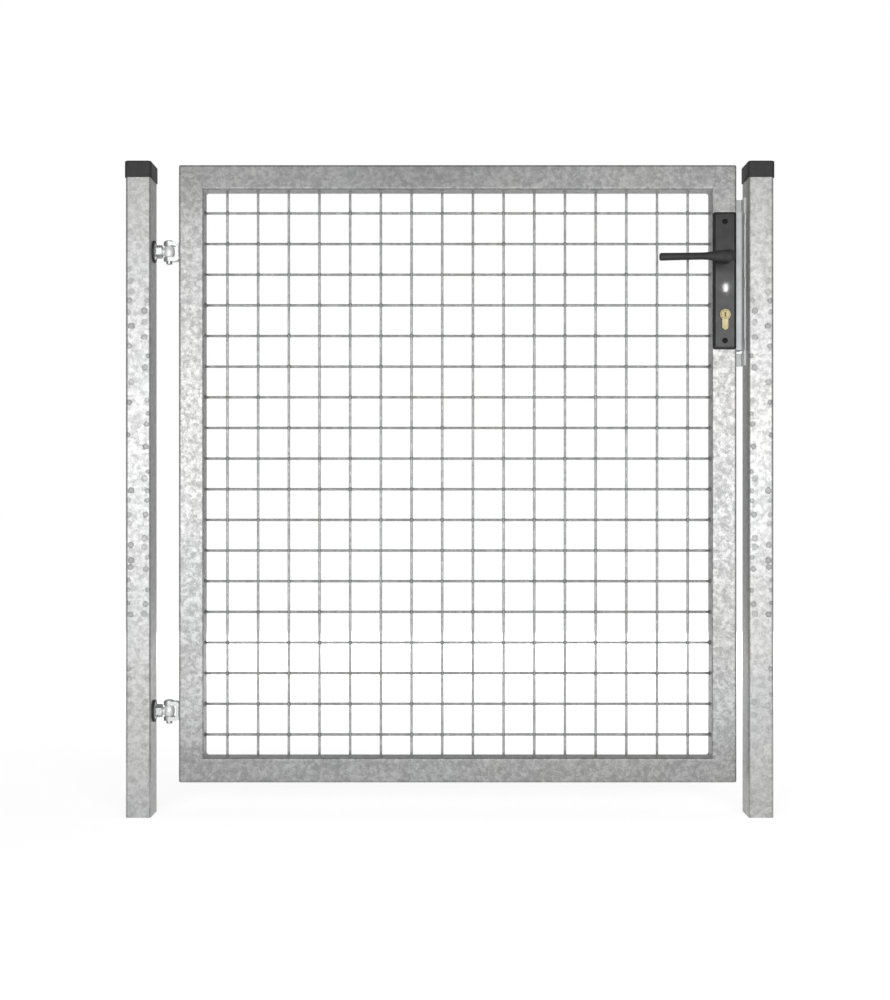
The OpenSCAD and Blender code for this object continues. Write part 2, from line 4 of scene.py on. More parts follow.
import bpy
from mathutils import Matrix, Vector


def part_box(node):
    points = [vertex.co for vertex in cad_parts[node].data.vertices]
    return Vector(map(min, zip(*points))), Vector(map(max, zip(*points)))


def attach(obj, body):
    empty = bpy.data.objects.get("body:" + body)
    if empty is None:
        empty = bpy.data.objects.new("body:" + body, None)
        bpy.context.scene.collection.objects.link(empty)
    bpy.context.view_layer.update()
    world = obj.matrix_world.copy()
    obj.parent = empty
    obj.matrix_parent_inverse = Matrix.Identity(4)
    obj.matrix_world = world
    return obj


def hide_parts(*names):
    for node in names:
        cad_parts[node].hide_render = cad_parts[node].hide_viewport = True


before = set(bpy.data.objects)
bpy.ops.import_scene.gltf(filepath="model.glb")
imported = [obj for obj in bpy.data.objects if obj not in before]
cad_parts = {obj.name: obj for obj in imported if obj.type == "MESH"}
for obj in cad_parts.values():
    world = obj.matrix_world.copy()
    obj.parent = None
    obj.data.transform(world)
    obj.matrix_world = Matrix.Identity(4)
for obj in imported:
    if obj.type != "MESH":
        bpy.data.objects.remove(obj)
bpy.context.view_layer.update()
scene = bpy.context.scene
print("frame loaded:", len(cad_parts), "nodes")


# Colours are written as sRGB hex and turned to linear here
def linear(hexColour):
    parts = [int(hexColour[i:i + 2], 16) / 255 for i in (1, 3, 5)]
    return [p / 12.92 if p <= 0.04045 else ((p + 0.055) / 1.055) ** 2.4 for p in parts] + [1.0]


# Adds a node: plain settings by name, inputs as values or as sockets to link, stops for a ramp
def addNode(tree, kind, inputs=None, stops=None, **settings):
    node = tree.nodes.new(kind)
    for key, value in settings.items():
        setattr(node, key, value)
    for key, value in (inputs or {}).items():
        if isinstance(value, bpy.types.NodeSocket):
            tree.links.new(value, node.inputs[key])
        else:
            node.inputs[key].default_value = value
    if stops:
        ramp = node.color_ramp.elements
        while len(ramp) < len(stops):
            ramp.new(1.0)
        for element, (place, colour) in zip(ramp, stops):
            element.position = place
            element.color = linear(colour)
    return node


# An empty node material and its tree
def newMaterial(name):
    material = bpy.data.materials.new(name)
    material.use_nodes = True
    material.node_tree.nodes.clear()
    return material, material.node_tree


# Texture scale for a pattern of that size in millimetres, since coordinates are in metres
def perMm(size):
    return 1000.0 / size


frameZinc = {
    "name": "hotDipGalvanisedTube",
    "dark": "#8a8a8a", "mid": "#a3a3a3", "light": "#bcbcbc",
    "warm": "#a8a79d", "cool": "#9fa5a4",
    "cloudMm": 8, "spangleMm": 5, "bend": 1.6, "fleckMm": 2.2, "tintMm": 150,
    "metalLow": 0.375, "metalHigh": 0.4, "shine": 0.8,
    "roughLow": 0.36, "roughHigh": 0.44, "lumpMm": 0.065,
    "spots": None,
    "ends": {
        "middle": 0.555, "from": 0.40, "to": 0.465, "shade": "#e2e2e2", "metal": 0.55,
        "headShade": "#c4c4c4", "headAt": 0.45, "headReach": 0.34,
    },
}
postZinc = dict(
    frameZinc, name="hotDipGalvanisedPost", dark="#979797", mid="#a7a7a7", light="#b6b6b6",
    metalLow=0.5, metalHigh=0.53, ends=None,
    spots={
        "pitchMm": 18, "scatter": 0.8, "rowApart": 211.0, "share": 0.62,
        "faceMm": 40, "faceEdge": 0.488, "halfWay": 0.5,
        "rowMm": 14, "wanderInMm": 4, "wanderOutMm": 2.4, "radiusMm": 4.6, "rimMm": 1.5,
        "raggedMm": 3.0, "ragged": 0.3, "uneven": 0.1, "soft": 0.03, "coreSoft": (0.05, 0.02),
        "rim": "#6a6a6a", "inside": "#888888", "rimMetal": 0.08, "insideMetal": 0.24,
        "foot": (0.14, 0.3), "head": (0.8, 0.95), "faint": 0.3, "weakest": 0.5,
    },
)
wireZinc = dict(
    frameZinc, name="hotDipGalvanisedWire", dark="#959696", mid="#a8a9a9", light="#bbbcbc",
    cloudMm=11, spangleMm=5, fleckMm=2.0, metalLow=0.14, metalHigh=0.28, lumpMm=0.05, ends=None,
)
# Level wires: a darker, duller copy of the wire zinc, whose darker colour is painted shade
dullAndShadedWireZinc = dict(
    wireZinc, name="dullGalvanisedWirePaintedShade", dark="#868787", mid="#999a9a", light="#adaeae",
    metalLow=0.08, metalHigh=0.22, shine=0.5,
)
# Welds: darker than the frame, partly their own burnt zinc and partly painted shade of the corners and
# recesses they sit in
weldZincAndShade = dict(
    frameZinc, name="galvanisedWeldWithPaintedShade", dark="#767777", mid="#8c8d8d", light="#a4a5a5",
    cloudMm=7, spangleMm=4, fleckMm=1.6, metalLow=0.05, metalHigh=0.2, lumpMm=0.2, ends=None,
)
# Beads where the level wires end on the stiles: darker still, partly burnt zinc and partly painted shade
burntWeldZincAndShade = dict(
    weldZincAndShade, name="burntGalvanisedWeldAndShade", dark="#5c5d5d", mid="#717272", light="#898a8a",
    metalLow=0.05, metalHigh=0.2, shine=0.4,
)


# Steel dipped in molten zinc and left to dull: a grey skin that scatters much of the light, with soft
# clouds, small spangle, flecks and lumps. Bare metal shows in patches, so a lamp's glow on it is mottled.
def galvanisedSteel(look):
    material, tree = newMaterial(look["name"])
    coords = addNode(tree, "ShaderNodeTexCoord")
    place = coords.outputs["Object"]
    cloud = addNode(tree, "ShaderNodeTexNoise", {
        "Vector": place, "Scale": perMm(look["cloudMm"]), "Detail": 4.0, "Roughness": 0.6})
    drift = addNode(tree, "ShaderNodeVectorMath", {
        0: cloud.outputs["Color"], "Scale": look["spangleMm"] / 1000 * look["bend"]}, operation="SCALE")
    bent = addNode(tree, "ShaderNodeVectorMath", {0: place, 1: drift.outputs[0]}, operation="ADD")
    spangle = addNode(tree, "ShaderNodeTexVoronoi", {
        "Vector": bent.outputs[0], "Scale": perMm(look["spangleMm"]), "Smoothness": 0.6},
        feature="SMOOTH_F1")
    grain = addNode(tree, "ShaderNodeSeparateColor", {0: spangle.outputs["Color"]})
    fleck = addNode(tree, "ShaderNodeTexNoise", {
        "Vector": place, "Scale": perMm(look["fleckMm"]), "Detail": 2.0, "Roughness": 0.6})
    blend = addNode(tree, "ShaderNodeMix", {
        0: 0.3, 2: cloud.outputs["Fac"], 3: grain.outputs[0]})
    shade = addNode(tree, "ShaderNodeMix", {
        0: 0.4, 2: blend.outputs[0], 3: fleck.outputs["Fac"]})
    zinc = addNode(tree, "ShaderNodeValToRGB", {0: shade.outputs[0]}, stops=[
        (0.4, look["dark"]), (0.5, look["mid"]), (0.6, look["light"])])
    broad = addNode(tree, "ShaderNodeTexNoise", {
        "Vector": place, "Scale": perMm(look["tintMm"]), "Detail": 1.0})
    tint = addNode(tree, "ShaderNodeValToRGB", {0: broad.outputs["Fac"]}, stops=[
        (0.34, look["warm"]), (0.5, look["mid"]), (0.68, look["cool"])])
    colour = addNode(tree, "ShaderNodeMix", {
        0: 0.15, 6: zinc.outputs[0], 7: tint.outputs[0]}, data_type="RGBA")
    painted = colour.outputs[2]
    bare = addNode(tree, "ShaderNodeMapRange", {
        0: shade.outputs[0], 1: 0.38, 2: 0.6, 3: look["metalLow"], 4: look["metalHigh"]})
    metal = bare.outputs[0]
    if look["spots"]:
        painted, metal = zincSpots(tree, look["spots"], coords, painted, metal)
    if look["ends"]:
        painted, metal = dullEnds(tree, look["ends"], coords, painted, metal)
    rough = addNode(tree, "ShaderNodeMapRange", {
        0: shade.outputs[0], 1: 0.35, 2: 0.65, 3: look["roughHigh"], 4: look["roughLow"]})
    bump = addNode(tree, "ShaderNodeBump", {
        "Strength": 0.6, "Distance": look["lumpMm"] / 1000, "Height": shade.outputs[0]})
    surface = addNode(tree, "ShaderNodeBsdfPrincipled", {
        "Base Color": painted, "Metallic": metal, "Roughness": rough.outputs[0],
        "Specular IOR Level": look["shine"], "Normal": bump.outputs[0]})
    addNode(tree, "ShaderNodeOutputMaterial", {0: surface.outputs[0]})
    return material


# The leaf's frame is duller and darker at its top and bottom, along the rails and at the stiles' ends,
# and darkest at the middle of the top rail
def dullEnds(tree, ends, coords, painted, metal):
    place = addNode(tree, "ShaderNodeSeparateXYZ", {0: coords.outputs["Object"]})
    fromMiddle = addNode(tree, "ShaderNodeMath", {
        0: place.outputs[2], 1: ends["middle"]}, operation="SUBTRACT").outputs[0]
    away = addNode(tree, "ShaderNodeMath", {0: fromMiddle}, operation="ABSOLUTE").outputs[0]
    share = addNode(tree, "ShaderNodeMapRange", {
        0: away, 1: ends["from"], 2: ends["to"], 3: 0.0, 4: 1.0})
    sideways = addNode(tree, "ShaderNodeMath", {
        0: place.outputs[0], 1: ends["headAt"]}, operation="SUBTRACT").outputs[0]
    apart = addNode(tree, "ShaderNodeMath", {0: sideways}, operation="ABSOLUTE").outputs[0]
    central = addNode(tree, "ShaderNodeMapRange", {
        0: apart, 1: 0.0, 2: ends["headReach"], 3: 1.0, 4: 0.0})
    upper = addNode(tree, "ShaderNodeMath", {0: fromMiddle, 1: 0.0}, operation="GREATER_THAN").outputs[0]
    atHead = addNode(tree, "ShaderNodeMath", {
        0: central.outputs[0], 1: upper}, operation="MULTIPLY").outputs[0]
    shade = addNode(tree, "ShaderNodeMix", {
        0: atHead, 6: linear(ends["shade"]), 7: linear(ends["headShade"])}, data_type="RGBA")
    darker = addNode(tree, "ShaderNodeMix", {
        0: share.outputs[0], 6: painted, 7: shade.outputs[2]}, data_type="RGBA", blend_type="MULTIPLY")
    less = addNode(tree, "ShaderNodeMapRange", {
        0: share.outputs[0], 1: 0.0, 2: 1.0, 3: 1.0, 4: ends["metal"]})
    duller = addNode(tree, "ShaderNodeMath", {0: metal, 1: less.outputs[0]}, operation="MULTIPLY")
    return darker.outputs[2], duller.outputs[0]


# Round dull spots with a dark rim, in a loose row along each upright edge of a post's wide faces
def zincSpots(tree, spots, coords, painted, metal):
    whole = addNode(tree, "ShaderNodeSeparateXYZ", {0: coords.outputs["Object"]})
    across = addNode(tree, "ShaderNodeSeparateXYZ", {0: coords.outputs["Generated"]})
    height = whole.outputs[2]
    offCentre = addNode(tree, "ShaderNodeMath", {
        0: across.outputs[0], 1: 0.5}, operation="SUBTRACT").outputs[0]
    # The latch post's rows mirror the hinge post's
    whichPost = addNode(tree, "ShaderNodeMath", {
        0: whole.outputs[0], 1: spots["halfWay"]}, operation="SUBTRACT").outputs[0]
    turned = addNode(tree, "ShaderNodeMath", {0: offCentre, 1: whichPost}, operation="MULTIPLY").outputs[0]
    side = addNode(tree, "ShaderNodeMath", {0: turned}, operation="SIGN").outputs[0]
    apart = addNode(tree, "ShaderNodeMath", {0: offCentre}, operation="ABSOLUTE").outputs[0]
    # Each row has its own stretch of the random line
    along = addNode(tree, "ShaderNodeMath", {
        0: height, 1: perMm(spots["pitchMm"])}, operation="MULTIPLY").outputs[0]
    ownLine = addNode(tree, "ShaderNodeMath", {
        0: side, 1: spots["rowApart"], 2: along}, operation="MULTIPLY_ADD").outputs[0]
    cell = addNode(tree, "ShaderNodeTexVoronoi", {
        "W": ownLine, "Scale": 1.0, "Randomness": spots["scatter"]}, voronoi_dimensions="1D")
    chance = addNode(tree, "ShaderNodeSeparateColor", {0: cell.outputs["Color"]})
    wander = addNode(tree, "ShaderNodeMapRange", {
        0: chance.outputs[1], 1: 0.0, 2: 1.0,
        3: (spots["rowMm"] - spots["wanderInMm"]) / spots["faceMm"],
        4: (spots["rowMm"] + spots["wanderOutMm"]) / spots["faceMm"]})
    sideways = addNode(tree, "ShaderNodeMath", {
        0: apart, 1: wander.outputs[0]}, operation="SUBTRACT").outputs[0]
    sidePitch = addNode(tree, "ShaderNodeMath", {
        0: sideways, 1: spots["faceMm"] / spots["pitchMm"]}, operation="MULTIPLY").outputs[0]
    offset = addNode(tree, "ShaderNodeCombineXYZ", {0: sidePitch, 2: cell.outputs["Distance"]})
    reach = addNode(tree, "ShaderNodeVectorMath", {0: offset.outputs[0]}, operation="LENGTH")
    # Ragged outline, and sizes that differ
    ragged = addNode(tree, "ShaderNodeTexNoise", {
        "Vector": coords.outputs["Object"], "Scale": perMm(spots["raggedMm"]), "Detail": 2.0})
    rough = addNode(tree, "ShaderNodeMath", {
        0: ragged.outputs["Fac"], 1: spots["ragged"], 2: reach.outputs["Value"]},
        operation="MULTIPLY_ADD").outputs[0]
    uneven = addNode(tree, "ShaderNodeMath", {
        0: chance.outputs[1], 1: spots["uneven"], 2: rough}, operation="MULTIPLY_ADD").outputs[0]
    radius = spots["radiusMm"] / spots["pitchMm"] + (spots["ragged"] + spots["uneven"]) / 2
    coreRadius = radius - spots["rimMm"] / spots["pitchMm"]
    inside = addNode(tree, "ShaderNodeMapRange", {
        0: uneven, 1: radius + spots["soft"], 2: radius - spots["soft"], 3: 0.0, 4: 1.0})
    coreIn, coreOut = spots["coreSoft"]
    core = addNode(tree, "ShaderNodeMapRange", {
        0: uneven, 1: coreRadius + coreOut, 2: coreRadius - coreIn, 3: 0.0, 4: 1.0})
    # None on the narrow sides
    kept = addNode(tree, "ShaderNodeMath", {
        0: chance.outputs[0], 1: spots["share"]}, operation="LESS_THAN").outputs[0]
    onFace = addNode(tree, "ShaderNodeMath", {
        0: apart, 1: spots["faceEdge"]}, operation="LESS_THAN").outputs[0]
    chosen = addNode(tree, "ShaderNodeMath", {0: kept, 1: onFace}, operation="MULTIPLY").outputs[0]
    mask = addNode(tree, "ShaderNodeMath", {
        0: inside.outputs[0], 1: chosen}, operation="MULTIPLY").outputs[0]
    strength = addNode(tree, "ShaderNodeMapRange", {
        0: chance.outputs[2], 1: 0.0, 2: 1.0, 3: spots["weakest"], 4: 1.0})
    # Fainter near the foot and the head
    foot = addNode(tree, "ShaderNodeMapRange", {
        0: height, 1: spots["foot"][0], 2: spots["foot"][1], 3: spots["faint"], 4: 1.0})
    head = addNode(tree, "ShaderNodeMapRange", {
        0: height, 1: spots["head"][0], 2: spots["head"][1], 3: 1.0, 4: spots["faint"]})
    nearEnds = addNode(tree, "ShaderNodeMath", {
        0: foot.outputs[0], 1: head.outputs[0]}, operation="MULTIPLY").outputs[0]
    shown = addNode(tree, "ShaderNodeMath", {
        0: strength.outputs[0], 1: nearEnds}, operation="MULTIPLY").outputs[0]
    faded = addNode(tree, "ShaderNodeMath", {0: mask, 1: shown}, operation="MULTIPLY").outputs[0]
    spotColour = addNode(tree, "ShaderNodeMix", {
        0: core.outputs[0], 6: linear(spots["rim"]), 7: linear(spots["inside"])}, data_type="RGBA")
    spotMetal = addNode(tree, "ShaderNodeMapRange", {
        0: core.outputs[0], 1: 0.0, 2: 1.0, 3: spots["rimMetal"], 4: spots["insideMetal"]})
    withSpots = addNode(tree, "ShaderNodeMix", {
        0: faded, 6: painted, 7: spotColour.outputs[2]}, data_type="RGBA")
    metalWithSpots = addNode(tree, "ShaderNodeMix", {0: faded, 2: metal, 3: spotMetal.outputs[0]})
    return withSpots.outputs[2], metalWithSpots.outputs[0]


zincPlate = {
    "name": "brightZincPlatedSteel", "colour": "#c2c3c3", "worn": "#b3b4b4", "streakMm": 5, "grainMm": 0.9,
    "rough": 0.27, "metallic": 0.66,
}
paleZincPlate = dict(
    zincPlate, name="paleZincPlatedSteel", colour="#ebebeb", worn="#e0e0e0", rough=0.36, metallic=0.2)


# Turned and pressed steel, zinc plated bright: near white, softly glossy, dark only at steep edges,
# with faint drawn streaks; the eye bolts have a paler, duller plate
def brightZincPlate(look):
    material, tree = newMaterial(look["name"])
    place = addNode(tree, "ShaderNodeTexCoord").outputs["Object"]
    streak = addNode(tree, "ShaderNodeTexNoise", {
        "Vector": place, "Scale": perMm(look["streakMm"]), "Detail": 4.0, "Roughness": 0.65})
    grain = addNode(tree, "ShaderNodeTexNoise", {
        "Vector": place, "Scale": perMm(look["grainMm"]), "Detail": 1.0})
    colour = addNode(tree, "ShaderNodeValToRGB", {0: streak.outputs["Fac"]}, stops=[
        (0.38, look["worn"]), (0.55, look["colour"])])
    rough = addNode(tree, "ShaderNodeMapRange", {
        0: streak.outputs["Fac"], 1: 0.35, 2: 0.65, 3: look["rough"] + 0.12, 4: look["rough"] - 0.04})
    bump = addNode(tree, "ShaderNodeBump", {
        "Strength": 0.25, "Distance": 0.00005, "Height": grain.outputs["Fac"]})
    surface = addNode(tree, "ShaderNodeBsdfPrincipled", {
        "Base Color": colour.outputs[0], "Metallic": look["metallic"], "Roughness": rough.outputs[0],
        "Normal": bump.outputs[0]})
    addNode(tree, "ShaderNodeOutputMaterial", {0: surface.outputs[0]})
    return material


zincSheetLook = {
    "name": "zincCoatedFoldedSheet", "colour": "#c8c9ca", "dull": "#babbbc", "cloudMm": 24, "fineMm": 4,
    "rough": 0.42, "metallic": 0.1, "shine": 0.6,
}
# The keep's paler copy of the sheet is painted light, against the shade between leaf and post
litSheetLook = dict(
    zincSheetLook, name="zincSheetPaintedLight", colour="#e6e7e7", dull="#dcdddd", metallic=0.3, rough=0.5)


# Folded steel sheet with a smooth dull zinc coat: even pale grey, softly clouded; the keep's paler
# copy is painted light that lifts it out of the shade between leaf and post
def zincCoatedSheet(look):
    material, tree = newMaterial(look["name"])
    place = addNode(tree, "ShaderNodeTexCoord").outputs["Object"]
    cloud = addNode(tree, "ShaderNodeTexNoise", {
        "Vector": place, "Scale": perMm(look["cloudMm"]), "Detail": 5.0, "Roughness": 0.6})
    fine = addNode(tree, "ShaderNodeTexNoise", {
        "Vector": place, "Scale": perMm(look["fineMm"]), "Detail": 2.0})
    colour = addNode(tree, "ShaderNodeValToRGB", {0: cloud.outputs["Fac"]}, stops=[
        (0.35, look["dull"]), (0.6, look["colour"])])
    rough = addNode(tree, "ShaderNodeMapRange", {
        0: fine.outputs["Fac"], 1: 0.3, 2: 0.7, 3: look["rough"] + 0.1, 4: look["rough"]})
    bump = addNode(tree, "ShaderNodeBump", {
        "Strength": 0.3, "Distance": 0.00006, "Height": fine.outputs["Fac"]})
    surface = addNode(tree, "ShaderNodeBsdfPrincipled", {
        "Base Color": colour.outputs[0], "Metallic": look["metallic"], "Roughness": rough.outputs[0],
        "Specular IOR Level": look["shine"], "Normal": bump.outputs[0]})
    addNode(tree, "ShaderNodeOutputMaterial", {0: surface.outputs[0]})
    return material


capPlastic = {"colour": "#3b3b3c", "dull": "#323233", "grainMm": 1.1, "scuffMm": 9, "rough": 0.5}


# Post caps and washers, injection moulded polyethylene: grey-black, with a fine matt mould grain and
# faint paler scuffs
def mouldedPolyethylene(look):
    material, tree = newMaterial("mouldedBlackPolyethylene")
    place = addNode(tree, "ShaderNodeTexCoord").outputs["Object"]
    grain = addNode(tree, "ShaderNodeTexNoise", {
        "Vector": place, "Scale": perMm(look["grainMm"]), "Detail": 2.0})
    scuff = addNode(tree, "ShaderNodeTexNoise", {
        "Vector": place, "Scale": perMm(look["scuffMm"]), "Detail": 4.0, "Roughness": 0.7})
    colour = addNode(tree, "ShaderNodeValToRGB", {0: scuff.outputs["Fac"]}, stops=[
        (0.4, look["dull"]), (0.62, look["colour"])])
    rough = addNode(tree, "ShaderNodeMapRange", {
        0: scuff.outputs["Fac"], 1: 0.35, 2: 0.65, 3: look["rough"], 4: look["rough"] + 0.12})
    bump = addNode(tree, "ShaderNodeBump", {
        "Strength": 0.35, "Distance": 0.00012, "Height": grain.outputs["Fac"]})
    surface = addNode(tree, "ShaderNodeBsdfPrincipled", {
        "Base Color": colour.outputs[0], "Roughness": rough.outputs[0], "IOR": 1.5,
        "Specular IOR Level": 0.25, "Normal": bump.outputs[0]})
    addNode(tree, "ShaderNodeOutputMaterial", {0: surface.outputs[0]})
    return material


plateCoat = {
    "name": "glossBlackPowderCoat", "colour": "#2b2b2c", "deep": "#242425", "peelMm": 2.2, "cloudMm": 14,
    "rough": 0.36, "shine": 0.3, "lacquer": 0.25, "lacquerRough": 0.03,
}
leverCoat = dict(
    plateCoat, name="mattBlackPowderCoat", colour="#333334", deep="#2c2c2d",
    rough=0.5, shine=0.25, lacquer=0.0)
# Screws: near black, partly blackened steel and partly painted shade of the plate recesses
screwCoatAndRecessShade = dict(
    leverCoat, name="blackenedScrewSteelAndRecessShade", colour="#0c0c0d", deep="#080809",
    rough=0.3, shine=0.14, peelMm=4.0)


# Lock plates and lever, cast and powder coated black: charcoal with a satin glow from its orange-peel
# surface; the plates have a thin smooth skin too, which gives a small lamp back as a bright spot, and
# the blackened screws are darker and shine less; their near-black colour is partly blackened steel and
# partly painted shade of the recesses they sit in
def blackPowderCoat(look):
    material, tree = newMaterial(look["name"])
    place = addNode(tree, "ShaderNodeTexCoord").outputs["Object"]
    peel = addNode(tree, "ShaderNodeTexNoise", {
        "Vector": place, "Scale": perMm(look["peelMm"]), "Detail": 2.0})
    cloud = addNode(tree, "ShaderNodeTexNoise", {
        "Vector": place, "Scale": perMm(look["cloudMm"]), "Detail": 4.0})
    colour = addNode(tree, "ShaderNodeValToRGB", {0: cloud.outputs["Fac"]}, stops=[
        (0.4, look["deep"]), (0.6, look["colour"])])
    rough = addNode(tree, "ShaderNodeMapRange", {
        0: cloud.outputs["Fac"], 1: 0.35, 2: 0.65, 3: look["rough"] + 0.06, 4: look["rough"]})
    bump = addNode(tree, "ShaderNodeBump", {
        "Strength": 0.3, "Distance": 0.00004, "Height": peel.outputs["Fac"]})
    surface = addNode(tree, "ShaderNodeBsdfPrincipled", {
        "Base Color": colour.outputs[0], "Roughness": rough.outputs[0], "IOR": 1.5,
        "Specular IOR Level": look["shine"], "Coat Weight": look["lacquer"],
        "Coat Roughness": look["lacquerRough"], "Normal": bump.outputs[0]})
    addNode(tree, "ShaderNodeOutputMaterial", {0: surface.outputs[0]})
    return material


brassLook = {
    "name": "machinedSatinBrass", "colour": "#a59a74", "deep": "#988b62", "lineMm": 0.7, "cloudMm": 5,
    "rough": 0.34, "metallic": 0.4,
}
# The ring round the plug: dark brown, painted shade of the groove between plug and body
grooveShadeBrassLook = dict(brassLook, name="brassPaintedGrooveShade", colour="#574b2c", deep="#453b20")


# Lock cylinder, machined brass with a satin face: pale yellow, softly shining, with fine tool lines;
# brown on the ring round the plug, which is painted shade of the groove between plug and body
def satinBrass(look):
    material, tree = newMaterial(look["name"])
    place = addNode(tree, "ShaderNodeTexCoord").outputs["Object"]
    lines = addNode(tree, "ShaderNodeTexNoise", {
        "Vector": place, "Scale": perMm(look["lineMm"]), "Detail": 1.0})
    cloud = addNode(tree, "ShaderNodeTexNoise", {
        "Vector": place, "Scale": perMm(look["cloudMm"]), "Detail": 3.0})
    colour = addNode(tree, "ShaderNodeValToRGB", {0: cloud.outputs["Fac"]}, stops=[
        (0.35, look["deep"]), (0.6, look["colour"])])
    rough = addNode(tree, "ShaderNodeMapRange", {
        0: cloud.outputs["Fac"], 1: 0.35, 2: 0.65, 3: look["rough"] + 0.06, 4: look["rough"]})
    bump = addNode(tree, "ShaderNodeBump", {
        "Strength": 0.2, "Distance": 0.00004, "Height": lines.outputs["Fac"]})
    surface = addNode(tree, "ShaderNodeBsdfPrincipled", {
        "Base Color": colour.outputs[0], "Metallic": look["metallic"], "Roughness": rough.outputs[0],
        "Normal": bump.outputs[0]})
    addNode(tree, "ShaderNodeOutputMaterial", {0: surface.outputs[0]})
    return material


galvanisedTube = galvanisedSteel(frameZinc)
galvanisedPost = galvanisedSteel(postZinc)
galvanisedWire = galvanisedSteel(wireZinc)
dullWireAndShade = galvanisedSteel(dullAndShadedWireZinc)
weldWithPaintedShade = galvanisedSteel(weldZincAndShade)
burntWeldAndShade = galvanisedSteel(burntWeldZincAndShade)
zincHardware = brightZincPlate(zincPlate)
paleHardware = brightZincPlate(paleZincPlate)
zincSheet = zincCoatedSheet(zincSheetLook)
sheetPaintedLight = zincCoatedSheet(litSheetLook)
blackPlastic = mouldedPolyethylene(capPlastic)
blackPlate = blackPowderCoat(plateCoat)
blackLever = blackPowderCoat(leverCoat)
blackScrewAndRecessShade = blackPowderCoat(screwCoatAndRecessShade)
brass = satinBrass(brassLook)
grooveShadeBrass = satinBrass(grooveShadeBrassLook)
print("materials made:", len(bpy.data.materials))

# Finish of each CAD slot
slotFinish = {
    "galvanised_post": galvanisedPost,
    "galvanised_frame": galvanisedTube,
    "galvanised_wire": galvanisedWire,
    "zinc_plated_steel": zincHardware,
    "zinc_plated_sheet": zincSheet,
    "black_plastic": blackPlastic,
    "black_coated_metal": blackPlate,
    "brass": brass,
}
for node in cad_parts.values():
    for slot in node.material_slots:
        slot.material = slotFinish[slot.material.name.split(".")[0]]
# Pieces whose finish differs from the rest of their slot; the keep's paler sheet is painted light
ownFinish = {
    "front_lever": blackLever, "rear_spindle_cap": blackLever, "latch_keep": sheetPaintedLight,
    "upper_hinge_eye_bolt": paleHardware, "lower_hinge_eye_bolt": paleHardware,
}
for name, material in ownFinish.items():
    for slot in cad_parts[name].material_slots:
        slot.material = material
print("finishes put on the CAD nodes")


# Points and faces of a piece in the making, and the material number of each face
def newShape():
    return {"verts": [], "faces": [], "finish": []}


# From here on, faces that have no finish yet get this one
def finishFaces(shape, number):
    shape["finish"] += [number] * (len(shape["faces"]) - len(shape["finish"]))


# A closed tube round a row of points, with a radius at each point
def addRod(shape, points, radii, sides):
    start = len(shape["verts"])
    along = (points[-1] - points[0]).normalized()
    across = along.orthogonal().normalized()
    up = along.cross(across)
    for point, radius in zip(points, radii):
        for i in range(sides):
            turn = 2 * math.pi * (i + 0.5) / sides
            shape["verts"].append(
                point + across * (radius * math.cos(turn)) + up * (radius * math.sin(turn)))
    for k in range(len(points) - 1):
        for i in range(sides):
            a = start + k * sides + i
            b = start + k * sides + (i + 1) % sides
            shape["faces"].append((a, b, b + sides, a + sides))
    shape["faces"].append(tuple(start + i for i in reversed(range(sides))))
    shape["faces"].append(tuple(start + (len(points) - 1) * sides + i for i in range(sides)))


# A closed egg-shaped bead with its own half sizes along x, y and z
def addBead(shape, centre, halves, rings=6, sides=10):
    start = len(shape["verts"])
    shape["verts"].append(centre + Vector((0, 0, -halves[2])))
    for k in range(1, rings):
        tilt = math.pi * k / rings
        for i in range(sides):
            turn = 2 * math.pi * i / sides
            shape["verts"].append(centre + Vector((
                halves[0] * math.sin(tilt) * math.cos(turn),
                halves[1] * math.sin(tilt) * math.sin(turn),
                -halves[2] * math.cos(tilt))))
    top = len(shape["verts"])
    shape["verts"].append(centre + Vector((0, 0, halves[2])))
    for i in range(sides):
        j = (i + 1) % sides
        shape["faces"].append((start, start + 1 + j, start + 1 + i))
        for k in range(rings - 2):
            a = start + 1 + k * sides
            shape["faces"].append((a + i, a + j, a + sides + j, a + sides + i))
        last = start + 1 + (rings - 2) * sides
        shape["faces"].append((last + i, last + j, top))


# Makes one piece of the collected shape and lets it ride on a body
def makePiece(name, shape, materials, body):
    mesh = bpy.data.meshes.new(name)
    mesh.from_pydata([tuple(v) for v in shape["verts"]], [], shape["faces"])
    for material in materials:
        mesh.materials.append(material)
    finishFaces(shape, 0)
    mesh.polygons.foreach_set("material_index", shape["finish"])
    mesh.shade_smooth()
    piece = bpy.data.objects.new(name, mesh)
    scene.collection.objects.link(piece)
    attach(piece, body)
    print("piece made:", name, len(mesh.polygons), "faces")
    return piece


# Welded wire mesh: uprights in front, level wires behind, sunk a little into each other; the level
# wires' darker copy of the wire zinc is painted shade
wireMesh = {
    "pitch": 0.050, "edge": 0.020, "wire": 0.004, "sink": 0.0008,
    "sides": 12, "step": 0.010, "lumps": 0.05, "seed": 7,
}
meshLow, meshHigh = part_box("wire_mesh")
cols = int((meshHigh.x - meshLow.x - 2 * wireMesh["edge"]) / wireMesh["pitch"] + 1e-6) + 1
rows = int((meshHigh.z - meshLow.z - 2 * wireMesh["edge"]) / wireMesh["pitch"] + 1e-6) + 1
midX = (meshLow.x + meshHigh.x) / 2
midZ = (meshLow.z + meshHigh.z) / 2
uprightX = [midX + (i - (cols - 1) / 2) * wireMesh["pitch"] for i in range(cols)]
levelZ = [midZ + (i - (rows - 1) / 2) * wireMesh["pitch"] for i in range(rows)]
layer = (wireMesh["wire"] - wireMesh["sink"]) / 2


